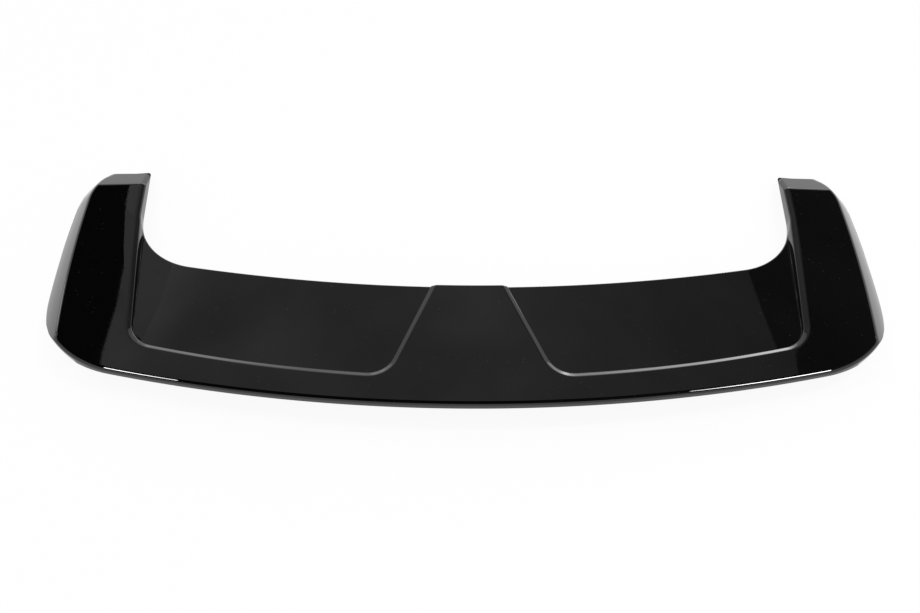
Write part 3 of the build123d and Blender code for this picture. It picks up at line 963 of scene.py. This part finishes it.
def make_card(name, corners, glow):
    """A studio card that only reflections show. Its glow changes from left to right."""
    mesh = bpy.data.meshes.new(name)
    mesh.from_pydata(corners, [], [tuple(range(len(corners)))])
    card = bpy.data.objects.new(name, mesh)
    bpy.context.scene.collection.objects.link(card)
    material, nodes = new_material(name)
    across = nodes.add("ShaderNodeTexCoord").outputs["Generated"]
    share = nodes.add("ShaderNodeSeparateXYZ", {0: across}).outputs[0]
    ramp = nodes.add("ShaderNodeValToRGB", {"Fac": share})
    stops = ramp.color_ramp.elements
    for _ in glow[2:]:
        stops.new(0.5)
    for stop, (place, strength) in zip(stops, glow):
        stop.position = place
        stop.color = (strength, strength, strength, 1)
    cloud = nodes.spread(nodes.noise(CARD_CLOUD, 3.0), 1 - CARD_MOTTLE, 1 + CARD_MOTTLE)
    light = nodes.add("ShaderNodeEmission", {"Color": ramp.outputs[0], "Strength": cloud})
    nodes.add("ShaderNodeOutputMaterial", {"Surface": light.outputs[0]})
    mesh.materials.append(material)
    card.visible_camera = False
    card.visible_diffuse = False
    card.visible_transmission = False
    card.visible_shadow = False


def make_world():
    """A white surround at strength 1 for what is seen, and softer as a light."""
    world = bpy.data.worlds.new("studio")
    world.use_nodes = True
    nodes = Nodes(world.node_tree)
    strength = nodes.spread(seen_light(nodes), AMBIENT, 1.0, 0.0, 1.0)
    light = nodes.add("ShaderNodeBackground", {"Color": (1, 1, 1, 1), "Strength": strength})
    nodes.add("ShaderNodeOutputWorld", {"Surface": light.outputs[0]})
    bpy.context.scene.world = world


def make_strip(name, place, size, power):
    """A long lamp overhead, which shines straight down and shows in no reflection."""
    light = bpy.data.lights.new(name, "AREA")
    light.shape = "RECTANGLE"
    light.size, light.size_y = size
    light.energy = power
    lamp = bpy.data.objects.new(name, light)
    lamp.location = place
    lamp.visible_glossy = False
    bpy.context.scene.collection.objects.link(lamp)


def make_camera():
    """The photograph's camera."""
    cos_e, sin_e = math.cos(EYE_ELEVATION), math.sin(EYE_ELEVATION)
    ahead = Vector((math.sin(EYE_YAW) * cos_e, math.cos(EYE_YAW) * cos_e, -sin_e))
    level = Vector((math.cos(EYE_YAW), -math.sin(EYE_YAW), 0))
    above = level.cross(ahead)
    right = math.cos(EYE_ROLL) * level + math.sin(EYE_ROLL) * above
    up = math.cos(EYE_ROLL) * above - math.sin(EYE_ROLL) * level
    turn = Matrix((right, up, -ahead)).transposed()
    camera = bpy.data.objects.new("camera", bpy.data.cameras.new("camera"))
    camera.data.lens = LENS
    camera.data.sensor_width = SENSOR
    camera.matrix_world = Matrix.Translation(Vector(EYE) * MM) @ turn.to_4x4()
    bpy.context.scene.collection.objects.link(camera)
    bpy.context.scene.camera = camera


for thing in list(bpy.data.objects):
    bpy.data.objects.remove(thing)
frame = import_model()
cad_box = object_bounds()
bpy.context.scene.view_settings.view_transform = "Standard"

make_camera()
dress(shell_mesh("painted_skin"), gloss_black(), "outer_skin")
dress(studs(), zinc_steel(), "studs")
repaint(frame["nodes"]["inner_skin"], moulded_black())
repaint(frame["nodes"]["stud_seals"], foam("seal_foam", SEAL_GREY, SEAL_PALE, SEAL_ROUGHNESS))
tape = foam("tape_foam", TAPE_GREY, TAPE_PALE, TAPE_ROUGHNESS)
for name in ("front_tape", "ear_tape_left", "ear_tape_right"):
    repaint(frame["nodes"][name], tape)

make_floor(cad_box[0][2])
make_world()
make_card("ceiling", CEILING, CEILING_GLOW)
make_card("card", CARD, CARD_GLOW)
make_card("small_card", SMALL_CARD, SMALL_CARD_GLOW)
make_card("horizon", HORIZON, HORIZON_GLOW)
make_card("side_bar", SIDE_BAR, SIDE_BAR_GLOW)
make_card("left_box", LEFT_BOX, LEFT_BOX_GLOW)
make_card("right_box", RIGHT_BOX, RIGHT_BOX_GLOW)
make_strip("left_strip", *LEFT_STRIP)
make_strip("right_strip", *RIGHT_STRIP)
